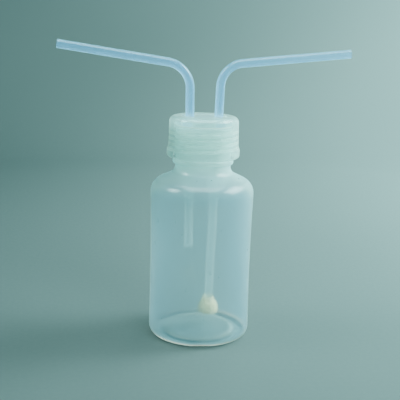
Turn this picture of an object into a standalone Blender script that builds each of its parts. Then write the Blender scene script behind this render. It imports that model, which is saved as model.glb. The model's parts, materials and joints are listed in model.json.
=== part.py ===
"""Gas washing bottle: a translucent fluoropolymer bottle with a screw cap, a captive port
insert, two bent tubes and a sparger on the longer one.

Metres, +Z up.  The origin is the centre of the bottle's base on the surface it stands on.
+X points along the inlet tube's arm, and the bottle's mould parting plane is X = 0.
"""

import math

import bmesh
import bpy
from mathutils import Matrix, Vector

# ---------------------------------------------------------------- driving dimensions
GAP = 0.0003                    # clearance between pieces that touch
SEGMENTS = 40                   # facets round the bottle, cap and insert
TUBE_SIDES = 16                 # facets round a tube
SMALL_SIDES = 24                # facets round the seals and the sparger

# Bottle, heights above the base
BODY_BASE_RADIUS = 0.0382       # wall radius just above the base corner
BODY_WAIST_RADIUS = 0.0378      # the wall pulls in a little between base and shoulder
BODY_TOP_RADIUS = 0.03845       # wall radius just under the shoulder
BODY_WAIST_HEIGHT = 0.048
WALL_LOW = 0.009                # where the straight wall starts and ends
WALL_HIGH = 0.107
WALL = 0.0014                   # wall thickness of the body
BASE_CORNER = 0.0065            # outer radius where wall and base meet
RING_INNER_RADIUS = 0.0275      # the flat stand ring's inner edge
PANEL_RADIUS = 0.0250           # the raised panel in the base
PANEL_HEIGHT = 0.0034
PANEL_CROWN = 0.0008            # the panel rises this much more at its centre
SHOULDER_CORNER = 0.01115       # outer radius from wall to shoulder cone
SHOULDER_SLOPE = math.radians(25.5)
SHOULDER_FOOT = 0.11768         # height where cone and wall would meet
NECK_RADIUS = 0.0205            # GL45 root radius
NECK_BORE = 0.0186
NECK_FILLET = 0.0063            # from the shoulder cone up into the neck
NECK_TOP = 0.1589
BEAD_RADIUS = 0.0225            # transfer bead under the cap
BEAD_LOW = 0.1320
BEAD_HIGH = 0.1361
SEAM_NOTCH = 0.0009             # height of the stand ring's arch on the parting plane
SEAM_NOTCH_ANGLE = math.radians(15)

# GL45 thread on the neck and in the cap
PITCH = 0.0040
NECK_CREST = 0.0225
CAP_ROOT = 0.0229
CAP_CREST = 0.02095
RIDGE_ROOT_WIDTH = 0.0021
RIDGE_CREST_WIDTH = 0.0009
RIDGE_SINK = 0.0004             # how deep a ridge's foot sits in its wall
NECK_THREAD_START = 0.1388
NECK_THREAD_TURNS = 4.25
CAP_THREAD_START = 0.1411
CAP_THREAD_TURNS = 4.25
RUN_OUT_TURNS = 0.15            # each ridge fades into its wall over this much

# Screw cap
CAP_BOTTOM = 0.1366
CAP_TOP = 0.1671
CAP_TOP_THICKNESS = 0.0030
CAP_SIDE_LOW_RADIUS = 0.0259
CAP_SIDE_TOP_RADIUS = 0.02545
CAP_TOP_CORNER = 0.0045
COLLAR_RADIUS = 0.0269
COLLAR_HIGH = 0.1425
COLLAR_STEP_TOP = 0.1455
CAP_MOUTH_RADIUS = 0.0233
APERTURE_RADIUS = 0.0165
SNAP_CREST = 0.0209             # ring inside the cap that keeps the insert captive
SNAP_LOW = 0.1593

# Port insert, captive in the cap
FLANGE_RADIUS = 0.0213
FLANGE_LOW = 0.1608
PLUG_LOW = 0.1560
PORT_OFFSET = 0.01055           # each port's distance from the bottle's axis
PORT_MIDDLE = 0.1616            # the height where a tube's axis crosses its port's
PORT_RADIUS = 0.00355
PORT_POCKET_RADIUS = 0.0052
PORT_POCKET_TOP = 0.1590
SEAL_OUTER_RADIUS = 0.0049
SEAL_INNER_RADIUS = 0.0034
NECK_SEAL_OUTER = 0.0204
NECK_SEAL_INNER = 0.0189

# Quarter inch tubes
TUBE_RADIUS = 0.003175
TUBE_BORE = 0.002175
TIP_REACH = 0.1062              # both tubes reach this far from the bottle's axis
INLET = {
    "lean": math.radians(1.45),     # the leg leans outwards above the port
    "riser": 0.0269,                # straight length above the port's middle
    "bend": 0.0175,                 # bend radius on the centreline
    "rise": math.radians(6.2),      # the arm's climb from level
}
OUTLET = {
    "lean": math.radians(0.8),
    "riser": 0.0250,
    "bend": 0.0190,
    "rise": math.radians(7.9),
}
OUTLET_END_HEIGHT = 0.0670      # the outlet's lower end
BEND_STEPS = 9

# Sparger on the inlet's lower end
SPARGER_LOW = 0.0155            # underside height at the inlet's axis
SPARGER_RADIUS = 0.00775
SPARGER_HEIGHT = 0.0122
SPARGER_DOME = 0.0090           # height of the domed part
COLLAR_FOOT_RADIUS = 0.0049     # the cone that grips the tube
COLLAR_TIP_RADIUS = 0.0041
SOCKET_FLOOR = 0.0072           # height of the tube's stop above the underside
FRIT_RADIUS = 0.0062
FRIT_THICKNESS = 0.0018
PLENUM_RADIUS = 0.0050


# ---------------------------------------------------------------- scene and materials
def clear_scene():
    for old in list(bpy.data.objects):
        bpy.data.objects.remove(old, do_unlink=True)


def plastic(name, colour, roughness, alpha):
    """A Principled material of one colour."""
    material = bpy.data.materials.new(name)
    material.use_nodes = True
    shader = material.node_tree.nodes["Principled BSDF"]
    shader.inputs["Base Color"].default_value = (*colour, 1.0)
    shader.inputs["Roughness"].default_value = roughness
    shader.inputs["Metallic"].default_value = 0.0
    shader.inputs["Alpha"].default_value = alpha
    return material


# ---------------------------------------------------------------- outlines
def rounded(corners, steps=4):
    """An outline of (radius, height, fillet) corners, each fillet as an arc of short edges."""
    points = []
    count = len(corners)
    for index, (radius, height, fillet) in enumerate(corners):
        corner = Vector((radius, height))
        if fillet == 0.0:
            points.append(corner)
            continue
        before = (Vector(corners[index - 1][:2]) - corner).normalized()
        after = (Vector(corners[(index + 1) % count][:2]) - corner).normalized()
        half = before.angle(after) / 2.0
        centre = corner + (before + after).normalized() * fillet / math.sin(half)
        start = corner + before * fillet / math.tan(half) - centre
        turn = start.angle_signed(corner + after * fillet / math.tan(half) - centre)
        for step in range(steps + 1):
            angle = -turn * step / steps
            arm = Matrix.Rotation(angle, 2) @ start
            points.append(centre + arm)
    return points


def wall_radius(height):
    """Outer radius of the bottle's wall, which is narrowest at the waist."""
    if height < BODY_WAIST_HEIGHT:
        share = (BODY_WAIST_HEIGHT - height) / (BODY_WAIST_HEIGHT - WALL_LOW)
        return BODY_WAIST_RADIUS + (BODY_BASE_RADIUS - BODY_WAIST_RADIUS) * share ** 2
    share = (height - BODY_WAIST_HEIGHT) / (WALL_HIGH - BODY_WAIST_HEIGHT)
    return BODY_WAIST_RADIUS + (BODY_TOP_RADIUS - BODY_WAIST_RADIUS) * share ** 2


def wall_points(inset, count=5):
    """Plain corners up the bottle's wall, moved inwards by inset."""
    span = WALL_HIGH - WALL_LOW
    heights = [WALL_LOW + span * step / (count - 1) for step in range(count)]
    return [(wall_radius(height) - inset, height, 0.0) for height in heights]


def cone_height(radius, inset=0.0):
    """Height of the shoulder cone at a radius, or of the same cone moved inwards by inset."""
    drop = inset / math.cos(SHOULDER_SLOPE)
    return SHOULDER_FOOT - drop + (BODY_TOP_RADIUS - radius) * math.tan(SHOULDER_SLOPE)


# ---------------------------------------------------------------- solids
def new_object(name, bm, material, parent=None):
    """Close off a bmesh as a smooth-shaded object."""
    bmesh.ops.recalc_face_normals(bm, faces=bm.faces)
    mesh = bpy.data.meshes.new(name)
    bm.to_mesh(mesh)
    bm.free()
    mesh.shade_smooth()
    mesh.set_sharp_from_angle(angle=math.radians(35))
    piece = bpy.data.objects.new(name, mesh)
    bpy.context.collection.objects.link(piece)
    if material is not None:
        mesh.materials.append(material)
    piece.parent = parent
    return piece


def turned(outline, sides, closed=True):
    """Spin an outline of (radius, height) points about Z.  An open one ends on the axis."""
    bm = bmesh.new()
    verts = [bm.verts.new((point[0], 0.0, point[1])) for point in outline]
    edges = [bm.edges.new(pair) for pair in zip(verts, verts[1:])]
    if closed:
        edges.append(bm.edges.new((verts[-1], verts[0])))
    bmesh.ops.spin(
        bm,
        geom=verts + edges,
        cent=(0.0, 0.0, 0.0),
        axis=(0.0, 0.0, 1.0),
        angle=math.tau,
        steps=sides,
        use_merge=True,
    )
    bmesh.ops.remove_doubles(bm, verts=bm.verts, dist=0.000001)
    return bm


def thread_ridge(name, root, crest, start, turns):
    """A single-start right-hand ridge that winds up from start and fades out at both ends."""
    outward = 1.0 if crest > root else -1.0
    foot = root - outward * RIDGE_SINK
    bm = bmesh.new()
    sections = []
    steps = round(turns * SEGMENTS)
    for step in range(steps + 1):
        turn = step / SEGMENTS
        fade = min(1.0, turn / RUN_OUT_TURNS, (turns - turn) / RUN_OUT_TURNS)
        top = foot + outward * 0.0001 + (crest - foot - outward * 0.0001) * fade
        height = start + PITCH * turn
        section = []
        for radius, offset in (
            (foot, -RIDGE_ROOT_WIDTH / 2),
            (top, -RIDGE_CREST_WIDTH / 2),
            (top, RIDGE_CREST_WIDTH / 2),
            (foot, RIDGE_ROOT_WIDTH / 2),
        ):
            angle = math.tau * turn
            place = (radius * math.cos(angle), radius * math.sin(angle), height + offset)
            section.append(bm.verts.new(place))
        sections.append(section)
    for low, high in zip(sections, sections[1:]):
        for side in range(4):
            after = (side + 1) % 4
            bm.faces.new((low[side], low[after], high[after], high[side]))
    bm.faces.new(sections[0])
    bm.faces.new(sections[-1])
    return new_object(name, bm, None)


def as_tool(tool):
    """Hide a solid that only shapes another one."""
    tool.hide_render = True
    tool.hide_viewport = False
    tool.display_type = "WIRE"
    return tool


def combine(piece, tool, operation):
    """Join a tool to a piece, or cut it away."""
    modifier = piece.modifiers.new(tool.name, "BOOLEAN")
    modifier.operation = operation
    modifier.solver = "EXACT"
    modifier.object = as_tool(tool)


def rod(name, radius, low, high, centre=(0.0, 0.0), sides=SMALL_SIDES):
    """An upright round bar, used as a cutter."""
    bm = bmesh.new()
    bmesh.ops.create_cone(
        bm,
        cap_ends=True,
        segments=sides,
        radius1=radius,
        radius2=radius,
        depth=high - low,
        matrix=Matrix.Translation((*centre, (low + high) / 2.0)),
    )
    return new_object(name, bm, None)


# ---------------------------------------------------------------- bottle
def bottle_outline():
    """The blow-moulded wall, from the underside's centre out, up, over the lip and back in."""
    inner_wall = wall_radius(WALL_HIGH) - WALL
    inner_base = wall_radius(WALL_LOW) - WALL
    outside = [
        (0.0, PANEL_HEIGHT + PANEL_CROWN, 0.0),
        (PANEL_RADIUS / 2, PANEL_HEIGHT + PANEL_CROWN * 0.75, 0.0),
        (PANEL_RADIUS, PANEL_HEIGHT, 0.0008),
        (RING_INNER_RADIUS, 0.0, 0.0),
        (BODY_BASE_RADIUS, 0.0, BASE_CORNER),
        *wall_points(0.0),
        (BODY_TOP_RADIUS, SHOULDER_FOOT, SHOULDER_CORNER),
        (NECK_RADIUS, cone_height(NECK_RADIUS), NECK_FILLET),
        (NECK_RADIUS, BEAD_LOW, 0.0),
        (BEAD_RADIUS, BEAD_LOW, 0.0016),
        (BEAD_RADIUS, BEAD_HIGH, 0.0016),
        (NECK_RADIUS, BEAD_HIGH, 0.0),
        (NECK_RADIUS, NECK_TOP, 0.0006),
    ]
    inside = [
        (NECK_BORE, NECK_TOP, 0.0004),
        (NECK_BORE, cone_height(NECK_BORE, WALL), NECK_FILLET + WALL),
        (inner_wall, cone_height(inner_wall, WALL), SHOULDER_CORNER - WALL),
        *reversed(wall_points(WALL)),
        (inner_base, WALL, BASE_CORNER - WALL),
        (RING_INNER_RADIUS + 0.0006, WALL, 0.0),
        (PANEL_RADIUS - 0.0004, PANEL_HEIGHT + WALL, 0.0008),
        (PANEL_RADIUS / 2, PANEL_HEIGHT + PANEL_CROWN * 0.75 + WALL, 0.0),
        (0.0, PANEL_HEIGHT + PANEL_CROWN + WALL, 0.0),
    ]
    return rounded(outside + inside, steps=3)


def arch_at_seam(bm):
    """Lift the stand ring into a low arch where the mould's halves met, front and back."""
    for vert in bm.verts:
        x, y, z = vert.co
        if math.hypot(x, y) < PANEL_RADIUS or z > WALL_LOW:
            continue
        off_seam = abs(math.atan2(abs(x), abs(y)))
        if off_seam < SEAM_NOTCH_ANGLE:
            share = 0.5 + 0.5 * math.cos(math.pi * off_seam / SEAM_NOTCH_ANGLE)
            vert.co.z += SEAM_NOTCH * share * (1.0 - z / WALL_LOW)


def make_bottle(material):
    bm = turned(bottle_outline(), SEGMENTS, closed=False)
    arch_at_seam(bm)
    bottle = new_object("bottle", bm, material)
    ridge = thread_ridge(
        "neck_thread_form", NECK_RADIUS, NECK_CREST, NECK_THREAD_START, NECK_THREAD_TURNS
    )
    combine(bottle, ridge, "UNION")
    return bottle


# ---------------------------------------------------------------- closure
def make_screw_cap(material):
    """Open-topped cap: collar, side, rounded top, aperture, snap ring and internal thread."""
    under_top = CAP_TOP - CAP_TOP_THICKNESS
    outline = rounded([
        (CAP_MOUTH_RADIUS, CAP_BOTTOM, 0.0),
        (COLLAR_RADIUS, CAP_BOTTOM, 0.0026),
        (COLLAR_RADIUS, COLLAR_HIGH, 0.0006),
        (CAP_SIDE_LOW_RADIUS, COLLAR_STEP_TOP, 0.0012),
        (CAP_SIDE_TOP_RADIUS, CAP_TOP, CAP_TOP_CORNER),
        (APERTURE_RADIUS, CAP_TOP, 0.0004),
        (APERTURE_RADIUS, under_top, 0.0),
        (CAP_ROOT, under_top, 0.0008),
        (CAP_ROOT, FLANGE_LOW, 0.0),
        (SNAP_CREST, FLANGE_LOW - GAP, 0.0),
        (SNAP_CREST, FLANGE_LOW - GAP - 0.0004, 0.0),
        (CAP_ROOT, SNAP_LOW, 0.0),
        (CAP_ROOT, CAP_BOTTOM + 0.0012, 0.0),
    ], steps=3)
    cap = new_object("screw_cap", turned(outline, SEGMENTS), material)
    ridge = thread_ridge(
        "cap_thread_form", CAP_ROOT, CAP_CREST, CAP_THREAD_START, CAP_THREAD_TURNS
    )
    combine(cap, ridge, "UNION")
    return cap


def make_port_insert(material):
    """The disc that the cap traps: boss in the aperture, flange, and plug in the neck."""
    boss_top = CAP_TOP - GAP
    flange_top = CAP_TOP - CAP_TOP_THICKNESS - GAP
    outline = rounded([
        (0.0, PLUG_LOW, 0.0),
        (NECK_BORE - GAP, PLUG_LOW, 0.0005),
        (NECK_BORE - GAP, FLANGE_LOW, 0.0),
        (FLANGE_RADIUS, FLANGE_LOW, 0.0),
        (FLANGE_RADIUS, flange_top, 0.0004),
        (APERTURE_RADIUS - GAP, flange_top, 0.0),
        (APERTURE_RADIUS - GAP, boss_top, 0.0004),
        (0.0, boss_top, 0.0),
    ], steps=2)
    insert = new_object("port_insert", turned(outline, SEGMENTS, closed=False), material)
    for side, label in ((1.0, "inlet"), (-1.0, "outlet")):
        centre = (side * PORT_OFFSET, 0.0)
        bore = rod(f"{label}_bore", PORT_RADIUS, PLUG_LOW - 0.002, CAP_TOP + 0.002, centre)
        pocket = rod(
            f"{label}_pocket", PORT_POCKET_RADIUS, PLUG_LOW - 0.002, PORT_POCKET_TOP, centre
        )
        combine(insert, bore, "DIFFERENCE")
        combine(insert, pocket, "DIFFERENCE")
    return insert


def make_ring(name, inner, outer, low, high, material, sides, rounding=0.0003):
    """A flat ring with eased edges about its own origin."""
    outline = rounded([
        (inner, low, rounding),
        (outer, low, rounding),
        (outer, high, rounding),
        (inner, high, rounding),
    ], steps=1)
    return new_object(name, turned(outline, sides), material)


def make_seals(material, port_axes):
    """The flat gasket on the neck's lip, and the ring that grips each tube in its pocket."""
    make_ring(
        "neck_seal",
        NECK_SEAL_INNER,
        NECK_SEAL_OUTER,
        NECK_TOP + GAP,
        FLANGE_LOW - GAP,
        material,
        SEGMENTS,
    )
    height = PORT_POCKET_TOP - PLUG_LOW - 2.0 * GAP
    for name, axis in zip(("inlet_port_seal", "outlet_port_seal"), port_axes):
        seal = make_ring(
            name, SEAL_INNER_RADIUS, SEAL_OUTER_RADIUS, 0.0, height, material, SMALL_SIDES
        )
        seal.parent = axis
        seal.location = (0.0, 0.0, PLUG_LOW + GAP - PORT_MIDDLE)


# ---------------------------------------------------------------- tubes
def port_axis(name, side, lean):
    """An empty on a tube's own axis in its port: its Z leans outwards with the tube."""
    axis = bpy.data.objects.new(name, None)
    bpy.context.collection.objects.link(axis)
    axis.empty_display_size = 0.01
    axis.location = (side * PORT_OFFSET, 0.0, PORT_MIDDLE)
    axis.rotation_euler = (0.0, lean, 0.0 if side > 0 else math.pi)
    return axis


def arm_length(shape):
    """The straight arm's length, for its outermost point to lie at TIP_REACH."""
    lean = shape["lean"]
    level = math.pi / 2 - shape["rise"]
    bend_start = PORT_OFFSET + shape["riser"] * math.sin(lean)
    bend_reach = shape["bend"] * (math.cos(lean) - math.cos(level))
    end_centre = TIP_REACH - TUBE_RADIUS * math.sin(shape["rise"])
    return (end_centre - bend_start - bend_reach) / math.sin(level)


def tube_stations(shape, leg):
    """(centre, direction) along a tube in its own frame: leg, riser, bend and arm."""
    turn = math.pi / 2 - shape["rise"] - shape["lean"]
    up = Vector((0.0, 0.0, 1.0))
    stations = [(Vector((0.0, 0.0, -leg)), up)]
    hub = Vector((shape["bend"], 0.0, shape["riser"]))
    for step in range(BEND_STEPS + 1):
        angle = turn * step / BEND_STEPS
        centre = hub + shape["bend"] * Vector((-math.cos(angle), 0.0, math.sin(angle)))
        stations.append((centre, Vector((math.sin(angle), 0.0, math.cos(angle)))))
    last, along = stations[-1]
    stations.append((last + along * arm_length(shape), along))
    return stations


def make_tube(name, shape, leg, material, parent):
    """A pipe with an open bore, swept ring by ring along its stations."""
    bm = bmesh.new()
    across = Vector((0.0, 1.0, 0.0))
    rings = []
    for centre, along in tube_stations(shape, leg):
        beside = across.cross(along)
        ring = {}
        for radius in (TUBE_RADIUS, TUBE_BORE):
            verts = []
            for side in range(TUBE_SIDES):
                angle = math.tau * side / TUBE_SIDES
                arm = beside * math.cos(angle) + across * math.sin(angle)
                verts.append(bm.verts.new(centre + arm * radius))
            ring[radius] = verts
        rings.append(ring)
    for low, high in zip(rings, rings[1:]):
        for radius in (TUBE_RADIUS, TUBE_BORE):
            join_rings(bm, low[radius], high[radius])
    for end in (rings[0], rings[-1]):
        join_rings(bm, end[TUBE_RADIUS], end[TUBE_BORE])
    return new_object(name, bm, material, parent)


def join_rings(bm, first, second):
    """A band of quads between two rings of verts."""
    count = len(first)
    for side in range(count):
        after = (side + 1) % count
        bm.faces.new((first[side], first[after], second[after], second[side]))


# ---------------------------------------------------------------- sparger
def dome_arc(steps=5):
    """The dome's outer curve, from its rim up to the collar's foot."""
    rim = 0.0022
    points = []
    for step in range(1, steps + 1):
        angle = math.pi / 2 * step / (steps + 1)
        radius = COLLAR_FOOT_RADIUS + (SPARGER_RADIUS - COLLAR_FOOT_RADIUS) * math.cos(angle)
        points.append((radius, rim + (SPARGER_DOME - rim) * math.sin(angle), 0.0))
    return points


def make_sparger(dome_material, frit_material, parent):
    """A domed head with a socket for the tube and a plenum, closed below by a porous disc."""
    underside = SPARGER_LOW - PORT_MIDDLE
    socket = TUBE_RADIUS + GAP
    recess = FRIT_RADIUS + GAP
    ledge = FRIT_THICKNESS + GAP
    outline = rounded([
        (recess, 0.0, 0.0),
        (SPARGER_RADIUS, 0.0, 0.0005),
        (SPARGER_RADIUS, 0.0022, 0.0),
        *dome_arc(),
        (COLLAR_FOOT_RADIUS, SPARGER_DOME, 0.0),
        (COLLAR_TIP_RADIUS, SPARGER_HEIGHT, 0.0),
        (socket, SPARGER_HEIGHT, 0.0),
        (socket, SOCKET_FLOOR, 0.0),
        (TUBE_BORE, SOCKET_FLOOR, 0.0),
        (TUBE_BORE, SOCKET_FLOOR - 0.0012, 0.0),
        (PLENUM_RADIUS, ledge + 0.0018, 0.0),
        (PLENUM_RADIUS, ledge, 0.0),
        (recess, ledge, 0.0),
    ], steps=2)
    dome = new_object("sparger_dome", turned(outline, SMALL_SIDES), dome_material, parent)
    dome.location = (0.0, 0.0, underside)
    disc = rounded([
        (0.0, 0.0, 0.0),
        (FRIT_RADIUS, 0.0, 0.0002),
        (FRIT_RADIUS, FRIT_THICKNESS, 0.0002),
        (0.0, FRIT_THICKNESS, 0.0),
    ], steps=1)
    frit = new_object(
        "sparger_frit", turned(disc, SMALL_SIDES, closed=False), frit_material, parent
    )
    frit.location = (0.0, 0.0, underside)


# ---------------------------------------------------------------- assembly
def main():
    clear_scene()
    body = plastic("bottle_pfa", (0.70, 0.82, 0.84), 0.25, 0.45)
    cap = plastic("cap_pfa", (0.80, 0.88, 0.86), 0.30, 0.60)
    tube = plastic("tube_pfa", (0.66, 0.82, 0.90), 0.15, 0.55)
    insert = plastic("insert_ptfe", (0.86, 0.90, 0.88), 0.40, 1.0)
    seal = plastic("seal_ptfe", (0.90, 0.91, 0.88), 0.45, 1.0)
    dome = plastic("sparger_ptfe", (0.92, 0.92, 0.86), 0.40, 1.0)
    frit = plastic("frit_ptfe", (0.88, 0.88, 0.83), 0.80, 1.0)

    make_bottle(body)
    make_screw_cap(cap)
    make_port_insert(insert)

    inlet_axis = port_axis("inlet_axis", 1.0, INLET["lean"])
    outlet_axis = port_axis("outlet_axis", -1.0, OUTLET["lean"])
    make_seals(seal, (inlet_axis, outlet_axis))
    inlet_leg = PORT_MIDDLE - SPARGER_LOW - SOCKET_FLOOR - GAP
    outlet_leg = (PORT_MIDDLE - OUTLET_END_HEIGHT) / math.cos(OUTLET["lean"])
    make_tube("inlet_tube", INLET, inlet_leg, tube, inlet_axis)
    make_tube("outlet_tube", OUTLET, outlet_leg, tube, outlet_axis)
    make_sparger(dome, frit, inlet_axis)


main()
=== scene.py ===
"""Looks of a gas washing bottle: fine shells, real threads and milky fluoropolymer.

Metres, +Z up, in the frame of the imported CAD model.  Every fine piece replaces the CAD node
of the same shape and rides on that node's body.
"""

import json
import math

import bpy
from mathutils import Matrix, Vector, noise


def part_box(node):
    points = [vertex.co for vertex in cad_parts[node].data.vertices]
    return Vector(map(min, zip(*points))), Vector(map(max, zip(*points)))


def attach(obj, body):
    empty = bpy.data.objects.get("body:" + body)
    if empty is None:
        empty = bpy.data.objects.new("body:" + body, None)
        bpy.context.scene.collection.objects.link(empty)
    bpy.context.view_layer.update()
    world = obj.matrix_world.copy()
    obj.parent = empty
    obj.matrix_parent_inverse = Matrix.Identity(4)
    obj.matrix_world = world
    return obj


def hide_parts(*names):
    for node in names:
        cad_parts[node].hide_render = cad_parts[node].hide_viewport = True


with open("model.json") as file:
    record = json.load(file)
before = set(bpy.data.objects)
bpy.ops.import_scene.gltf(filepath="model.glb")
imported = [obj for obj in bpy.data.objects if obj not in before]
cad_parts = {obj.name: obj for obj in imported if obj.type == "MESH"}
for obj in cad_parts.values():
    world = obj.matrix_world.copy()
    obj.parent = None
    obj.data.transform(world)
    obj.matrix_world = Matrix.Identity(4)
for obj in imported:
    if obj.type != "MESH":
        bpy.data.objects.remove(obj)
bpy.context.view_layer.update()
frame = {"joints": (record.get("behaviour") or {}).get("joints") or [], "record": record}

# ---------------------------------------------------------------- driving dimensions
GAP = 0.0003
ROUND = 160                      # facets round the bottle, cap and insert
SMALL_ROUND = 72                 # facets round the seals and the sparger
TUBE_ROUND = 48
FILLET_STEPS = 8

# Bottle
BODY_BASE_RADIUS = 0.0382
BODY_WAIST_RADIUS = 0.0378
BODY_TOP_RADIUS = 0.03845
BODY_WAIST_HEIGHT = 0.048
WALL_LOW = 0.009
WALL_HIGH = 0.107
WALL = 0.0014
BASE_CORNER = 0.0065
RING_INNER_RADIUS = 0.0275
PANEL_RADIUS = 0.0250
PANEL_HEIGHT = 0.0034
PANEL_CROWN = 0.0008
SHOULDER_CORNER = 0.01115
SHOULDER_SLOPE = math.radians(25.5)
SHOULDER_FOOT = 0.11768
NECK_RADIUS = 0.0205
NECK_BORE = 0.0186
NECK_FILLET = 0.0063
NECK_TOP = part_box("bottle")[1].z
BEAD_RADIUS = 0.0225
BEAD_LOW = 0.1320
BEAD_HIGH = 0.1361
SEAM_NOTCH = 0.0009
SEAM_NOTCH_ANGLE = math.radians(15)
SEAM_HEIGHT = 0.00007            # the fine line that the mould's parting leaves
SEAM_HALF_WIDTH = math.radians(0.25)
SEAM_LOW = 0.0005
SEAM_SAMPLES = [math.radians(offset) for offset in (-0.7, -0.2, 0.2, 0.7)]
WAVE = 0.00012                   # how far the blown wall wanders from a true cylinder
WAVE_RISE = (0.004, 0.024)       # it begins to wander over these heights
NECK_LOW = 0.1255                # where the shoulder's cone turns up into the neck

# How much thicker each place of the bottle is than its usual wall of 1, which makes it hazier,
# and the heights or radii over which that comes and goes
SHOULDER_EXTRA = 1.9
NECK_EXTRA = 2.1
BEAD_EXTRA = 0.3
CORNER_EXTRA = 0.4
STEP_EXTRA = 2.0
FLOOR_EXTRA = 1.2
SEAM_EXTRA = 0.5
SIDE_LACK = 0.25                 # what the side lacks low down
SIDE_RISE = (0.02, 0.07)
NECK_RISE = (NECK_LOW - 0.002, NECK_LOW + 0.002)
BEAD_RISE = (BEAD_LOW - 0.002, BEAD_LOW)
BEAD_FALL = (BEAD_HIGH, BEAD_HIGH + 0.001)
CORNER_FALL = (0.0015, 0.008)
CORNER_REACH = (0.0315, 0.036)
STEP_START = (0.0240, 0.0252)
STEP_END = (0.0272, 0.0284)
FLOOR_END = (0.0330, 0.0380)
THREAD_EXTRA = 1.6               # a ridge's own thickness, shared out as follows
NECK_RIDGE_SHARE = 0.5
CAP_CREST_SHARE = 0.3
CAP_FLANK_SHARE = 0.8            # a ridge's flanks bend the light, so they show most

# Thread
PITCH = 0.0040
NECK_CREST = 0.0225
CAP_ROOT = 0.0229
CAP_CREST = 0.02095
RIDGE_ROOT_WIDTH = 0.0021
RIDGE_CREST_WIDTH = 0.0009
NECK_THREAD_START = 0.1388
CAP_THREAD_START = 0.1411
THREAD_TURNS = 4.25
RUN_OUT_TURNS = 0.15
THREAD_ROW = 0.00025             # how closely a threaded wall is sampled
BASE_ROW = 0.0006                # how closely the bottle's base is sampled

# Cap, insert and seals
CAP_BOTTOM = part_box("screw_cap")[0].z
CAP_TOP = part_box("screw_cap")[1].z
CAP_TOP_THICKNESS = 0.0030
CAP_SIDE_LOW_RADIUS = 0.0259
CAP_SIDE_TOP_RADIUS = 0.02545
CAP_TOP_CORNER = 0.0045
COLLAR_RADIUS = 0.0269
COLLAR_HIGH = 0.1425
COLLAR_STEP_TOP = 0.1455
CAP_MOUTH_RADIUS = 0.0233
APERTURE_RADIUS = 0.0165
SNAP_CREST = 0.0209
SNAP_LOW = 0.1593
FLANGE_RADIUS = 0.0213
FLANGE_LOW = 0.1608
PLUG_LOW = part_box("port_insert")[0].z
PORT_OFFSET = 0.01055
PORT_MIDDLE = 0.1616
PORT_RADIUS = 0.00355
PORT_POCKET_RADIUS = 0.0052
PORT_POCKET_TOP = 0.1590
SEAL_OUTER_RADIUS = 0.0049
SEAL_INNER_RADIUS = 0.0034
NECK_SEAL_OUTER = 0.0204
NECK_SEAL_INNER = 0.0189

# Tubes
TUBE_RADIUS = 0.003175
TUBE_BORE = 0.002175
TIP_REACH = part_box("inlet_tube")[1].x
INLET = {"lean": math.radians(1.45), "riser": 0.0269, "bend": 0.0175, "rise": math.radians(6.2)}
OUTLET = {"lean": math.radians(0.8), "riser": 0.0250, "bend": 0.0190, "rise": math.radians(7.9)}
OUTLET_END_HEIGHT = 0.0670
BEND_STEPS = 36
BEND_FLATTENING = 0.035          # a bent tube is this much thinner across its bend
CUT_EASE = 0.00012               # the cut ends' edges are broken by this much

# Sparger
SPARGER_LOW = 0.0155
SPARGER_RADIUS = 0.00775
SPARGER_HEIGHT = 0.0122
SPARGER_DOME = 0.0090
COLLAR_FOOT_RADIUS = 0.0049
COLLAR_TIP_RADIUS = 0.0041
SOCKET_FLOOR = 0.0072
FRIT_RADIUS = 0.0062
FRIT_THICKNESS = 0.0018
PLENUM_RADIUS = 0.0050
PLENUM_TAPER = 0.0018
THROAT_LENGTH = 0.0012
RIM_HEIGHT = 0.0022
PORE_SPACING = 0.0006
PORE_DEPTH = 0.00006

# Camera: where it stands, and how far it pitches, turns and rolls from level along +Y
CAMERA_PLACE = Vector((-0.04805, -0.54926, 0.22964))
CAMERA_PITCH = math.radians(-12.86)
CAMERA_TURN = math.radians(-4.86)
CAMERA_ROLL = math.radians(1.68)
SENSOR = 36.0
LENS = 67.87


# ---------------------------------------------------------------- meshes
def rounded(corners, steps=FILLET_STEPS):
    """An outline of (radius, height, fillet) corners, each fillet as an arc of short edges."""
    points = []
    count = len(corners)
    for index, (radius, height, fillet) in enumerate(corners):
        corner = Vector((radius, height))
        if fillet == 0.0:
            points.append(corner)
            continue
        before = (Vector(corners[index - 1][:2]) - corner).normalized()
        after = (Vector(corners[(index + 1) % count][:2]) - corner).normalized()
        half = before.angle(after) / 2.0
        centre = corner + (before + after).normalized() * fillet / math.sin(half)
        start = corner + before * fillet / math.tan(half) - centre
        turn = start.angle_signed(corner + after * fillet / math.tan(half) - centre)
        for step in range(steps + 1):
            arm = Matrix.Rotation(-turn * step / steps, 2) @ start
            points.append(centre + arm)
    return points


def subdivided(outline, longest, low=-math.inf, high=math.inf):
    """The same outline with long edges between two heights cut into shorter ones."""
    points = [outline[0]]
    for start, end in zip(outline, outline[1:]):
        inside = low <= min(start.y, end.y) and max(start.y, end.y) <= high
        cuts = max(1, math.ceil((end - start).length / longest)) if inside else 1
        points += [start.lerp(end, step / cuts) for step in range(1, cuts + 1)]
    return points


def ring_angles(count, fine_near=(), fine_offsets=()):
    """Even angles round a circle, with a few extra ones beside the given angles."""
    angles = [math.tau * step / count for step in range(count)]
    for middle in fine_near:
        angles += [(middle + offset) % math.tau for offset in fine_offsets]
    return sorted(set(round(angle, 6) for angle in angles))


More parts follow.
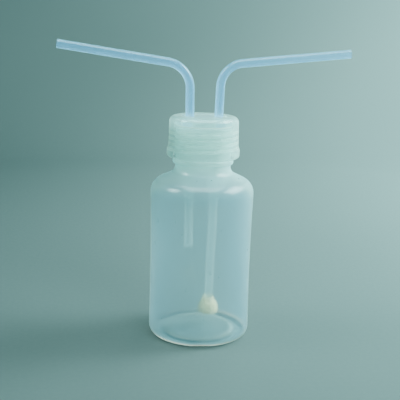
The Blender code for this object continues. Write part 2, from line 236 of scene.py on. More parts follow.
def new_piece(name, verts, faces, materials, thickness=None, face_materials=None, sharp=40):
    """A smooth-shaded mesh object.

    thickness says how thick the wall is at each vertex, beside its usual 1: its material
    reads it, because thick plastic is hazier.
    """
    mesh = bpy.data.meshes.new(name)
    mesh.from_pydata(verts, [], faces)
    for material in materials:
        mesh.materials.append(material)
    if face_materials is not None:
        mesh.polygons.foreach_set("material_index", face_materials)
    wall = mesh.attributes.new("thickness", "FLOAT", "POINT")
    wall.data.foreach_set("value", thickness or [1.0] * len(verts))
    mesh.validate()
    mesh.shade_smooth()
    mesh.set_sharp_from_angle(angle=math.radians(sharp))
    piece = bpy.data.objects.new(name, mesh)
    bpy.context.collection.objects.link(piece)
    return piece


def turned(name, outline, angles, materials, shape=None, closed=True):
    """Turn an outline of (radius, height) points about Z, optionally reshaped point by point.

    shape takes (index in the outline, radius, angle, height) and gives a new radius and height,
    and the wall's thickness there.  An open outline starts and ends on the axis.
    """
    verts = []
    rows = []
    thickness = []
    shape = shape or unchanged
    for index, point in enumerate(outline):
        if point.x < 1e-9:
            rows.append([len(verts)] * len(angles))
            verts.append((0.0, 0.0, point.y))
            thickness.append(shape(index, 0.0, 0.0, point.y)[2])
            continue
        row = []
        for angle in angles:
            radius, height, thick = shape(index, point.x, angle, point.y)
            row.append(len(verts))
            verts.append((radius * math.cos(angle), radius * math.sin(angle), height))
            thickness.append(thick)
        rows.append(row)
    pairs = list(zip(rows, rows[1:]))
    if closed:
        pairs.append((rows[-1], rows[0]))
    faces = []
    for low, high in pairs:
        for side in range(len(angles)):
            after = (side + 1) % len(angles)
            corners = (low[side], low[after], high[after], high[side])
            face = tuple(dict.fromkeys(corners))
            faces.append(face)
    return new_piece(name, verts, faces, materials, thickness)


def unchanged(index, radius, angle, height):
    """The shape of a truly turned piece with an even wall."""
    return radius, height, 1.0


def between(value, low, high):
    """0 below low, 1 above high, and a smooth rise from one to the other."""
    share = min(1.0, max(0.0, (value - low) / (high - low)))
    return share * share * (3.0 - 2.0 * share)


def ridge_share(angle, height, start):
    """How far a helical ridge stands out of its wall here, from 0 to 1."""
    turn = angle / math.tau
    wound = round((height - start) / PITCH - turn) + turn
    if not 0.0 < wound < THREAD_TURNS:
        return 0.0
    offset = abs(height - start - PITCH * wound)
    crest = RIDGE_CREST_WIDTH / 2
    root = RIDGE_ROOT_WIDTH / 2
    flank = 1.0 - between(offset, crest, root)
    fade = min(1.0, wound / RUN_OUT_TURNS, (THREAD_TURNS - wound) / RUN_OUT_TURNS)
    return flank * fade


# ---------------------------------------------------------------- bottle
def wall_radius(height):
    """Outer radius of the bottle's wall, which is narrowest at the waist."""
    if height < BODY_WAIST_HEIGHT:
        share = (BODY_WAIST_HEIGHT - height) / (BODY_WAIST_HEIGHT - WALL_LOW)
        return BODY_WAIST_RADIUS + (BODY_BASE_RADIUS - BODY_WAIST_RADIUS) * share ** 2
    share = (height - BODY_WAIST_HEIGHT) / (WALL_HIGH - BODY_WAIST_HEIGHT)
    return BODY_WAIST_RADIUS + (BODY_TOP_RADIUS - BODY_WAIST_RADIUS) * share ** 2


def wall_points(inset, count=20):
    """Plain corners up the bottle's wall, moved inwards by inset."""
    span = WALL_HIGH - WALL_LOW
    heights = [WALL_LOW + span * step / (count - 1) for step in range(count)]
    return [(wall_radius(height) - inset, height, 0.0) for height in heights]


def cone_height(radius, inset=0.0):
    """Height of the shoulder cone at a radius, or of the same cone moved inwards by inset."""
    drop = inset / math.cos(SHOULDER_SLOPE)
    return SHOULDER_FOOT - drop + (BODY_TOP_RADIUS - radius) * math.tan(SHOULDER_SLOPE)


def bottle_outside():
    """The outer wall, from the underside's centre out, up and to the lip."""
    return rounded([
        (0.0, PANEL_HEIGHT + PANEL_CROWN, 0.0),
        (PANEL_RADIUS / 2, PANEL_HEIGHT + PANEL_CROWN * 0.75, 0.0),
        (PANEL_RADIUS, PANEL_HEIGHT, 0.0008),
        (RING_INNER_RADIUS, 0.0, 0.0009),
        (BODY_BASE_RADIUS, 0.0, BASE_CORNER),
        *wall_points(0.0),
        (BODY_TOP_RADIUS, SHOULDER_FOOT, SHOULDER_CORNER),
        (NECK_RADIUS, cone_height(NECK_RADIUS), NECK_FILLET),
        (NECK_RADIUS, BEAD_LOW, 0.0004),
        (BEAD_RADIUS, BEAD_LOW, 0.0016),
        (BEAD_RADIUS, BEAD_HIGH, 0.0016),
        (NECK_RADIUS, BEAD_HIGH, 0.0004),
        (NECK_RADIUS, NECK_TOP, 0.0006),
        (NECK_BORE, NECK_TOP, 0.0),
    ])[:-1]


def bottle_inside():
    """The inner wall, from the lip down to the centre of the floor."""
    inner_wall = wall_radius(WALL_HIGH) - WALL
    inner_base = wall_radius(WALL_LOW) - WALL
    return rounded([
        (NECK_RADIUS, NECK_TOP, 0.0),
        (NECK_BORE, NECK_TOP, 0.0004),
        (NECK_BORE, cone_height(NECK_BORE, WALL), NECK_FILLET + WALL),
        (inner_wall, cone_height(inner_wall, WALL), SHOULDER_CORNER - WALL),
        *reversed(wall_points(WALL)),
        (inner_base, WALL, BASE_CORNER - WALL),
        (RING_INNER_RADIUS + 0.0006, WALL, 0.0006),
        (PANEL_RADIUS - 0.0004, PANEL_HEIGHT + WALL, 0.0008),
        (PANEL_RADIUS / 2, PANEL_HEIGHT + PANEL_CROWN * 0.75 + WALL, 0.0),
        (0.0, PANEL_HEIGHT + PANEL_CROWN + WALL, 0.0),
    ])[1:]


def from_seam(angle):
    """Angle from the mould's parting plane, front or back."""
    return abs(math.asin(max(-1.0, min(1.0, math.cos(angle)))))


def blown_shape(outside_count):
    """Reshape a true bottle: thread, parting line, arched stand ring and a wandering wall."""
    def shape(index, radius, angle, height):
        outside = index < outside_count
        off_seam = from_seam(angle)
        thick = bottle_thickness(radius, height)
        if height > BEAD_HIGH:
            share = ridge_share(angle, height, NECK_THREAD_START)
            thick += NECK_RIDGE_SHARE * THREAD_EXTRA * share
            if outside and abs(radius - NECK_RADIUS) < 1e-6:
                radius += (NECK_CREST - NECK_RADIUS) * share
        if radius > PANEL_RADIUS and height < WALL_LOW and off_seam < SEAM_NOTCH_ANGLE:
            share = 0.5 + 0.5 * math.cos(math.pi * off_seam / SEAM_NOTCH_ANGLE)
            height += SEAM_NOTCH * share * (1.0 - height / WALL_LOW)
        if height < BEAD_LOW and radius > BEAD_RADIUS:
            rise = between(height, *WAVE_RISE)
            wander = math.sin(3.0 * angle + 26.0 * height) + math.sin(2.0 * angle - 60.0 * height)
            radius -= WAVE * rise * (1.0 + 0.5 * wander)
        if outside and height > SEAM_LOW and off_seam < SEAM_HALF_WIDTH:
            radius += SEAM_HEIGHT
            thick += SEAM_EXTRA
        return radius, height, thick
    return shape


def bottle_thickness(radius, height):
    """The wall's thickness beside its usual 1, which sets how hazy it looks.

    It is thickest at the shoulder, the neck, the floor and the step round the floor's panel,
    and thinnest low down the side.
    """
    thin = SIDE_LACK * (1.0 - between(height, *SIDE_RISE))
    if height > WALL_LOW:
        bead = between(height, *BEAD_RISE) - between(height, *BEAD_FALL)
        shoulder = between(height, WALL_HIGH, SHOULDER_FOOT)
        neck = between(height, *NECK_RISE)
        return 1.0 - thin + SHOULDER_EXTRA * shoulder + NECK_EXTRA * neck + BEAD_EXTRA * bead
    corner = (1.0 - between(height, *CORNER_FALL)) * between(radius, *CORNER_REACH)
    step = between(radius, *STEP_START) - between(radius, *STEP_END)
    floor = 1.0 - between(radius, *FLOOR_END)
    return 1.0 - thin + CORNER_EXTRA * corner + STEP_EXTRA * step + FLOOR_EXTRA * floor


def make_bottle(material, inner_material):
    outside = subdivided(bottle_outside(), THREAD_ROW, BEAD_HIGH, NECK_TOP)
    outside = subdivided(outside, BASE_ROW, 0.0, BASE_CORNER)
    outline = outside + subdivided(bottle_inside(), BASE_ROW, 0.0, BASE_CORNER)
    seams = (math.pi / 2, 3 * math.pi / 2)
    angles = ring_angles(ROUND, seams, SEAM_SAMPLES)
    piece = turned(
        "bottle_wall",
        outline,
        angles,
        [material, inner_material],
        blown_shape(len(outside)),
        closed=False,
    )
    inside = [face // len(angles) >= len(outside) for face in range(len(piece.data.polygons))]
    piece.data.polygons.foreach_set("material_index", inside)
    return piece


# ---------------------------------------------------------------- closure
def make_cap(material):
    """Collar, side, rounded top, aperture, snap ring and the thread inside."""
    under_top = CAP_TOP - CAP_TOP_THICKNESS
    rise = (SNAP_LOW - COLLAR_STEP_TOP) / (CAP_TOP - COLLAR_STEP_TOP)
    side_radius = CAP_SIDE_LOW_RADIUS + (CAP_SIDE_TOP_RADIUS - CAP_SIDE_LOW_RADIUS) * rise
    outline = rounded([
        (CAP_MOUTH_RADIUS, CAP_BOTTOM, 0.0004),
        (COLLAR_RADIUS, CAP_BOTTOM, 0.0026),
        (COLLAR_RADIUS, COLLAR_HIGH, 0.0006),
        (CAP_SIDE_LOW_RADIUS, COLLAR_STEP_TOP, 0.0012),
        (side_radius, SNAP_LOW, 0.0),
        (CAP_SIDE_TOP_RADIUS, CAP_TOP, CAP_TOP_CORNER),
        (APERTURE_RADIUS, CAP_TOP, 0.0004),
        (APERTURE_RADIUS, under_top, 0.0),
        (CAP_ROOT, under_top, 0.0008),
        (CAP_ROOT, FLANGE_LOW, 0.0),
        (SNAP_CREST, FLANGE_LOW - GAP, 0.0002),
        (SNAP_CREST, FLANGE_LOW - GAP - 0.0004, 0.0002),
        (CAP_ROOT, SNAP_LOW, 0.0),
        (CAP_ROOT, CAP_BOTTOM + 0.0012, 0.0),
    ])
    outline = subdivided(outline, THREAD_ROW, CAP_BOTTOM + 0.0012, SNAP_LOW)
    first_inside = max(index for index, point in enumerate(outline) if point.x < SNAP_CREST + 1e-6)

    def shape(index, radius, angle, height):
        share = ridge_share(angle, height, CAP_THREAD_START)
        flank = 4.0 * share * (1.0 - share)
        thick = 1.0 + THREAD_EXTRA * (CAP_CREST_SHARE * share + CAP_FLANK_SHARE * flank)
        if index > first_inside:
            radius += (CAP_CREST - CAP_ROOT) * share
        return radius, height, thick

    return turned("cap_wall", outline, ring_angles(ROUND), [material], shape)


def make_insert(material):
    """The captive disc: boss in the aperture, flange, plug in the neck and two ports."""
    boss_top = CAP_TOP - GAP
    flange_top = CAP_TOP - CAP_TOP_THICKNESS - GAP
    outline = rounded([
        (0.0, PLUG_LOW, 0.0),
        (NECK_BORE - GAP, PLUG_LOW, 0.0005),
        (NECK_BORE - GAP, FLANGE_LOW, 0.0002),
        (FLANGE_RADIUS, FLANGE_LOW, 0.0003),
        (FLANGE_RADIUS, flange_top, 0.0004),
        (APERTURE_RADIUS - GAP, flange_top, 0.0002),
        (APERTURE_RADIUS - GAP, boss_top, 0.0005),
        (0.0, boss_top, 0.0),
    ], steps=4)
    insert = turned("insert_disc", outline, ring_angles(ROUND), [material], closed=False)
    for side in (1.0, -1.0):
        for radius, high in ((PORT_RADIUS, CAP_TOP + 0.002), (PORT_POCKET_RADIUS, PORT_POCKET_TOP)):
            drilled(insert, radius, PLUG_LOW - 0.002, high, side * PORT_OFFSET)
    return insert


def drilled(piece, radius, low, high, offset):
    """Drill an upright hole at x = offset, and keep the result as the piece's mesh.

    The cut leaves its new vertices without a thickness, so every vertex gets the usual one.
    """
    outline = [Vector((0.0, low)), Vector((radius, low)), Vector((radius, high)), Vector((0.0, high))]
    bit = turned("drill_bit", outline, ring_angles(SMALL_ROUND), [], closed=False)
    bit.location.x = offset
    cut = piece.modifiers.new("hole", "BOOLEAN")
    cut.operation = "DIFFERENCE"
    cut.solver = "EXACT"
    cut.object = bit
    bpy.context.view_layer.update()
    evaluated = piece.evaluated_get(bpy.context.evaluated_depsgraph_get())
    mesh = bpy.data.meshes.new_from_object(evaluated)
    piece.modifiers.clear()
    piece.data = mesh
    mesh.attributes["thickness"].data.foreach_set("value", [1.0] * len(mesh.vertices))
    mesh.shade_smooth()
    mesh.set_sharp_from_angle(angle=math.radians(40))
    bpy.data.objects.remove(bit)


def make_ring(name, inner, outer, low, high, material, count, rounding=0.00025):
    """A flat ring with eased edges."""
    outline = rounded([
        (inner, low, rounding),
        (outer, low, rounding),
        (outer, high, rounding),
        (inner, high, rounding),
    ], steps=4)
    return turned(name, outline, ring_angles(count), [material])


# ---------------------------------------------------------------- tubes
def port_matrix(joint_name):
    """A tube's own frame: its Z is the swivel's axis, and its X points along its arm."""
    joint = next(joint for joint in frame["joints"] if joint["name"] == joint_name)
    up = Vector(joint["axis"]).normalized()
    place = Vector(joint["pos_m"])
    arm = Vector((math.copysign(1.0, place.x), 0.0, 0.0))
    across = up.cross(arm).normalized()
    turn = Matrix((across.cross(up), across, up)).transposed()
    return Matrix.Translation(place) @ turn.to_4x4()


def arm_length(shape):
    """The straight arm's length, for its outermost point to lie at TIP_REACH."""
    lean = shape["lean"]
    level = math.pi / 2 - shape["rise"]
    bend_start = PORT_OFFSET + shape["riser"] * math.sin(lean)
    bend_reach = shape["bend"] * (math.cos(lean) - math.cos(level))
    end_centre = TIP_REACH - TUBE_RADIUS * math.sin(shape["rise"])
    return (end_centre - bend_start - bend_reach) / math.sin(level)


def tube_stations(shape, leg):
    """(centre, direction, share of the bend's flattening) along a tube in its own frame."""
    turn = math.pi / 2 - shape["rise"] - shape["lean"]
    up = Vector((0.0, 0.0, 1.0))
    below_ports = PLUG_LOW - PORT_MIDDLE
    stations = [(Vector((0.0, 0.0, -leg)), up, 0.0), (Vector((0.0, 0.0, below_ports)), up, 0.0)]
    hub = Vector((shape["bend"], 0.0, shape["riser"]))
    for step in range(BEND_STEPS + 1):
        share = step / BEND_STEPS
        angle = turn * share
        centre = hub + shape["bend"] * Vector((-math.cos(angle), 0.0, math.sin(angle)))
        along = Vector((math.sin(angle), 0.0, math.cos(angle)))
        stations.append((centre, along, math.sin(math.pi * share)))
    centre, along, _ = stations[-1]
    stations.append((centre + along * arm_length(shape), along, 0.0))
    return stations


def make_tube(name, shape, leg, place, wall_material, leg_material, bore_material):
    """A pipe with an open bore and eased cut ends, swept ring by ring along its stations."""
    stations = tube_stations(shape, leg)
    below_ports = stations[1][0].z - 1e-6
    first, last = stations[0], stations[-1]
    eased_first = (first[0] + first[1] * CUT_EASE, first[1], 0.0)
    eased_last = (last[0] - last[1] * CUT_EASE, last[1], 0.0)
    outer_path = [(first, -CUT_EASE), (eased_first, 0.0)]
    outer_path += [(station, 0.0) for station in stations[1:-1]]
    outer_path += [(eased_last, 0.0), (last, -CUT_EASE)]
    bore_path = [(station, -inset) for station, inset in reversed(outer_path)]
    across = Vector((0.0, 1.0, 0.0))
    rings = []
    for radius, path in ((TUBE_RADIUS, outer_path), (TUBE_BORE, bore_path)):
        for (centre, along, flat), extra in path:
            beside = across.cross(along)
            ring = []
            for side in range(TUBE_ROUND):
                angle = math.tau * side / TUBE_ROUND
                arm = beside * math.cos(angle) * (1.0 - BEND_FLATTENING * flat)
                arm += across * math.sin(angle)
                ring.append(centre + arm * (radius + extra))
            rings.append(ring)
    verts = [place @ vert for ring in rings for vert in ring]
    faces = []
    face_materials = []
    for row in range(len(rings)):
        after_row = (row + 1) % len(rings)
        for side in range(TUBE_ROUND):
            after = (side + 1) % TUBE_ROUND
            faces.append((
                row * TUBE_ROUND + side,
                row * TUBE_ROUND + after,
                after_row * TUBE_ROUND + after,
                after_row * TUBE_ROUND + side,
            ))
            bore = len(outer_path) <= row < len(rings) - 1
            below = rings[row][side].z < below_ports
            face_materials.append(2 if bore else int(below))
    materials = [wall_material, leg_material, bore_material]
    return new_piece(name, verts, faces, materials, face_materials=face_materials)


# ---------------------------------------------------------------- sparger
def dome_arc(steps=14):
    """The dome's outer curve, from its rim up to the collar's foot."""
    points = []
    for step in range(1, steps + 1):
        angle = math.pi / 2 * step / (steps + 1)
        radius = COLLAR_FOOT_RADIUS + (SPARGER_RADIUS - COLLAR_FOOT_RADIUS) * math.cos(angle)
        height = RIM_HEIGHT + (SPARGER_DOME - RIM_HEIGHT) * math.sin(angle)
        points.append((radius, height, 0.0))
    return points


def make_sparger(place, dome_material, frit_material):
    """A domed head with a socket for the tube and a plenum, closed below by a porous disc."""
    socket = TUBE_RADIUS + GAP
    recess = FRIT_RADIUS + GAP
    ledge = FRIT_THICKNESS + GAP
    outline = rounded([
        (recess, 0.0, 0.0002),
        (SPARGER_RADIUS, 0.0, 0.0006),
        (SPARGER_RADIUS, RIM_HEIGHT, 0.0),
        *dome_arc(),
        (COLLAR_FOOT_RADIUS, SPARGER_DOME, 0.0003),
        (COLLAR_TIP_RADIUS, SPARGER_HEIGHT, 0.0002),
        (socket, SPARGER_HEIGHT, 0.0002),
        (socket, SOCKET_FLOOR, 0.0),
        (TUBE_BORE, SOCKET_FLOOR, 0.0),
        (TUBE_BORE, SOCKET_FLOOR - THROAT_LENGTH, 0.0),
        (PLENUM_RADIUS, ledge + PLENUM_TAPER, 0.0),
        (PLENUM_RADIUS, ledge, 0.0),
        (recess, ledge, 0.0),
    ], steps=4)
    dome = turned("sparger_head", outline, ring_angles(SMALL_ROUND), [dome_material])
    disc = rounded([
        (0.0, 0.0, 0.0),
        (FRIT_RADIUS, 0.0, 0.0002),
        (FRIT_RADIUS, FRIT_THICKNESS, 0.0002),
        (0.0, FRIT_THICKNESS, 0.0),
    ], steps=3)
    disc = subdivided(disc, 0.0003)

    def porous(index, radius, angle, height):
        spot = Vector((radius * math.cos(angle), radius * math.sin(angle), height))
        pit = PORE_DEPTH * (0.5 + 0.5 * noise.noise(spot / PORE_SPACING))
        inwards = pit if height < FRIT_THICKNESS / 2 else -pit
        return radius, height + inwards, 1.0

    frit = turned(
        "sparger_disc", disc, ring_angles(SMALL_ROUND), [frit_material], porous, closed=False
    )
    for piece in (dome, frit):
        piece.matrix_world = place @ Matrix.Translation((0.0, 0.0, SPARGER_LOW - PORT_MIDDLE))
    return dome, frit


# ---------------------------------------------------------------- materials
COAT_INDEX = 1.75                # sets how bright the highlights are
HAZE_INDEX = 1.35
WAXY_INDEX = 1.36
LEAST_SLANT = 0.04               # keeps the way through a wall finite at its very edge
SHADE_SPAN = (2.0, 3.0)          # walls this thick turn from the thin shadow to the thick one

# Painted shade and a painted glint round the edge the bottle stands on: their colours, and the bands
# they lie in, in rim heights
# Near-black band low on the edge: painted shade for the dark line where the ring meets the floor
PAINTED_SHADE_COLOUR = (0.035, 0.030, 0.022, 1.0)
PAINTED_SHADE_RISE = (0.02, 0.15)
PAINTED_SHADE_FALL = (1.1, 1.4)
# Pale buff band above it: a painted glint for the light that the thick corner gathers
PAINTED_GLINT_COLOUR = (1.0, 0.80, 0.62, 1.0)
PAINTED_GLINT_RISE = (1.1, 1.5)
PAINTED_GLINT_FALL = (1.7, 2.6)
PAINTED_GLINT_STRENGTH = 0.7


def node_tree(name):
    """A new material's nodes and links, with only its output left."""
    material = bpy.data.materials.new(name)
    material.use_nodes = True
    nodes = material.node_tree.nodes
    nodes.clear()
    output = nodes.new("ShaderNodeOutputMaterial")
    return material, nodes, material.node_tree.links, output


def mottled(nodes, links, scale, detail=4.0, stretch=(1.0, 1.0, 1.0)):
    """A soft noise in the piece's own space."""
    place = nodes.new("ShaderNodeTexCoord")
    mapping = nodes.new("ShaderNodeMapping")
    mapping.inputs["Scale"].default_value = stretch
    pattern = nodes.new("ShaderNodeTexNoise")
    pattern.inputs["Scale"].default_value = scale
    pattern.inputs["Detail"].default_value = detail
    pattern.inputs["Roughness"].default_value = 0.55
    links.new(place.outputs["Object"], mapping.inputs["Vector"])
    links.new(mapping.outputs["Vector"], pattern.inputs["Vector"])
    return pattern.outputs["Fac"]


def ranged(nodes, links, value, low, high, span=(0.25, 0.75)):
    """A value within a span mapped onto a range; a noise spans about 0.25 to 0.75."""
    spread = nodes.new("ShaderNodeMapRange")
    spread.inputs["From Min"].default_value = span[0]
    spread.inputs["From Max"].default_value = span[1]
    spread.inputs["To Min"].default_value = low
    spread.inputs["To Max"].default_value = high
    links.new(value, spread.inputs["Value"])
    return spread.outputs["Result"]


def blended(nodes, links, value, first, second):
    """A colour between two, by a 0 to 1 value."""
    mix = nodes.new("ShaderNodeMix")
    mix.data_type = "RGBA"
    mix.inputs["A"].default_value = (*first, 1.0)
    mix.inputs["B"].default_value = (*second, 1.0)
    links.new(value, mix.inputs["Factor"])
    return mix.outputs["Result"]


def bumped(nodes, links, value, depth):
    """A bump from a pattern, depth in metres."""
    bump = nodes.new("ShaderNodeBump")
    bump.inputs["Strength"].default_value = 0.5
    bump.inputs["Distance"].default_value = depth
    links.new(value, bump.inputs["Height"])
    return bump.outputs["Normal"]


def wall_thickness(nodes):
    """The wall's thickness beside its usual 1, as the mesh gives it."""
    wall = nodes.new("ShaderNodeAttribute")
    wall.attribute_name = "thickness"
    return wall.outputs["Fac"]


def way_through(nodes, links, least):
    """How far light goes inside a wall of any thickness, beside straight through a plain one.

    least keeps it finite at the wall's very edge, and evens it out when it is large.
    """
    slant = nodes.new("ShaderNodeLayerWeight")
    slant.inputs["Blend"].default_value = 0.5
    across = calculated(nodes, links, "SUBTRACT", 1.0 + least, slant.outputs["Facing"])
    return calculated(nodes, links, "DIVIDE", wall_thickness(nodes), across)


def thickened(nodes, links, haze, way):
    """The haze along a way through the wall, from a plain wall's haze."""
    clear = calculated(nodes, links, "SUBTRACT", 1.0, haze)
    passed = calculated(nodes, links, "POWER", clear, way)
    return calculated(nodes, links, "SUBTRACT", 1.0, passed)


def calculated(nodes, links, operation, first, second):
    """One sum on two values, each a number or a node's output."""
    sum_node = nodes.new("ShaderNodeMath")
    sum_node.operation = operation
    for socket, value in zip(sum_node.inputs, (first, second)):
        if isinstance(value, float):
            socket.default_value = value
        else:
            links.new(value, socket)
    return sum_node.outputs[0]


def milky_plastic(name, look):
    """Translucent fluoropolymer: clear with a haze that scatters light from both sides."""
    material, nodes, links, output = node_tree(name)
    broad = mottled(nodes, links, look["mottle"])
    fine = mottled(nodes, links, look["grain"], detail=2.0, stretch=look.get("stretch", (1, 1, 1)))
    thin_colour = blended(nodes, links, broad, look["colour"], look["colour_to"])
    normal = bumped(nodes, links, fine, look["bump"])

    clear = nodes.new("ShaderNodeBsdfPrincipled")
    clear.inputs["IOR"].default_value = look["index"]
    clear.inputs["Transmission Weight"].default_value = 1.0
    clear.inputs["Coat Weight"].default_value = look.get("coat", 1.0)
    clear.inputs["Coat Roughness"].default_value = look["gloss"]
    clear.inputs["Coat IOR"].default_value = COAT_INDEX
    way = way_through(nodes, links, look.get("least_slant", LEAST_SLANT))
    thick = ranged(nodes, links, way, 0.0, 1.0, look["whitening"])
    tint = blended(nodes, links, thick, look["tint"], look["thick_tint"])
    links.new(tint, clear.inputs["Base Color"])
    links.new(ranged(nodes, links, fine, *look["roughness"]), clear.inputs["Roughness"])
    links.new(normal, clear.inputs["Normal"])

    colour = blended(nodes, links, thick, look["colour"], look["thick_colour"])
    links.new(thin_colour, colour.node.inputs["A"])
    front = nodes.new("ShaderNodeBsdfPrincipled")
    front.inputs["IOR"].default_value = HAZE_INDEX
    links.new(colour, front.inputs["Base Color"])
    links.new(ranged(nodes, links, fine, *look["roughness"]), front.inputs["Roughness"])
    links.new(normal, front.inputs["Normal"])
    glow = nodes.new("ShaderNodeBsdfTranslucent")
    links.new(colour, glow.inputs["Color"])
    links.new(normal, glow.inputs["Normal"])
    scatter = nodes.new("ShaderNodeMixShader")
    scatter.inputs["Fac"].default_value = 0.5
    links.new(front.outputs[0], scatter.inputs[1])
    links.new(glow.outputs[0], scatter.inputs[2])

    wall = nodes.new("ShaderNodeMixShader")
    haze = thickened(nodes, links, ranged(nodes, links, broad, *look["haze"]), way)
    links.new(haze, wall.inputs["Fac"])
    links.new(clear.outputs[0], wall.inputs[1])
    links.new(scatter.outputs[0], wall.inputs[2])

    # The bottle's outside gets painted shade and a painted glint round the edge it stands on
    if "painted_rim_height" in look:
        wall = with_painted_rim(nodes, links, wall, look["painted_rim_height"])
    passing = nodes.new("ShaderNodeBsdfTransparent")
    solid = ranged(nodes, links, wall_thickness(nodes), 0.0, 1.0, SHADE_SPAN)
    shade = blended(nodes, links, solid, look["shade"], look["thick_shade"])
    links.new(shade, passing.inputs["Color"])
    path = nodes.new("ShaderNodeLightPath")
    final = nodes.new("ShaderNodeMixShader")
    links.new(path.outputs["Is Shadow Ray"], final.inputs["Fac"])
    links.new(wall.outputs[0], final.inputs[1])
    links.new(passing.outputs[0], final.inputs[2])
    links.new(final.outputs[0], output.inputs["Surface"])
    return material


def with_painted_rim(nodes, links, clean, painted_rim_height):
    """The clean look, with a band of painted shade in grey, then a painted glint in buff, round the
    edge the bottle stands on.
    """
    place = nodes.new("ShaderNodeTexCoord")
    axes = nodes.new("ShaderNodeSeparateXYZ")
    links.new(place.outputs["Object"], axes.inputs["Vector"])
    height = axes.outputs["Z"]
    # Noise that breaks the painted bands into patches
    rim_noise = mottled(nodes, links, 900.0, stretch=(0.3, 0.3, 1.0))
    patchy = ranged(nodes, links, rim_noise, 0.55, 1.0)

    def band(rise, fall, strength):
        """How strong a painted band is here, in patches: nothing below the rise, the strength, and
        nothing again.
        """
        low = [edge * painted_rim_height for edge in rise]
        high = [edge * painted_rim_height for edge in fall]
        falling = ranged(nodes, links, height, 1.0, 0.0, high)
        rising = ranged(nodes, links, height, 0.0, strength, low)
        inside = calculated(nodes, links, "MULTIPLY", falling, rising)
        return calculated(nodes, links, "MULTIPLY", patchy, inside)

    # Painted glint: a pale buff band that stands in for the light the thick corner gathers
    painted_glint = nodes.new("ShaderNodeBsdfTranslucent")
    painted_glint.inputs["Color"].default_value = PAINTED_GLINT_COLOUR
    glinting_rim = nodes.new("ShaderNodeMixShader")
    links.new(band(PAINTED_GLINT_RISE, PAINTED_GLINT_FALL, PAINTED_GLINT_STRENGTH), glinting_rim.inputs["Fac"])
    links.new(clean.outputs[0], glinting_rim.inputs[1])
    links.new(painted_glint.outputs[0], glinting_rim.inputs[2])
    # Painted shade: a near-black band for the dark line where the ring meets the floor
    painted_shade = nodes.new("ShaderNodeBsdfDiffuse")
    painted_shade.inputs["Color"].default_value = PAINTED_SHADE_COLOUR
    shaded_rim = nodes.new("ShaderNodeMixShader")
    links.new(band(PAINTED_SHADE_RISE, PAINTED_SHADE_FALL, 1.0), shaded_rim.inputs["Fac"])
    links.new(glinting_rim.outputs[0], shaded_rim.inputs[1])
    links.new(painted_shade.outputs[0], shaded_rim.inputs[2])
    return shaded_rim


def matte_plastic(name, look):
    """Opaque PTFE: waxy white, with faint turning marks and mottling."""
    material, nodes, links, output = node_tree(name)
    broad = mottled(nodes, links, look["mottle"])
    fine = mottled(nodes, links, look["grain"], detail=3.0, stretch=look.get("stretch", (1, 1, 1)))
    shader = nodes.new("ShaderNodeBsdfPrincipled")
    shader.inputs["IOR"].default_value = WAXY_INDEX
    shader.inputs["Subsurface Weight"].default_value = look["waxy"]
    shader.inputs["Subsurface Radius"].default_value = (0.0060, 0.0055, 0.0045)
    shader.inputs["Subsurface Scale"].default_value = 1.0
    colour = blended(nodes, links, broad, look["colour"], look["colour_to"])
    links.new(colour, shader.inputs["Base Color"])
    links.new(ranged(nodes, links, fine, *look["roughness"]), shader.inputs["Roughness"])
    links.new(bumped(nodes, links, fine, look["bump"]), shader.inputs["Normal"])
    links.new(shader.outputs[0], output.inputs["Surface"])
    return material


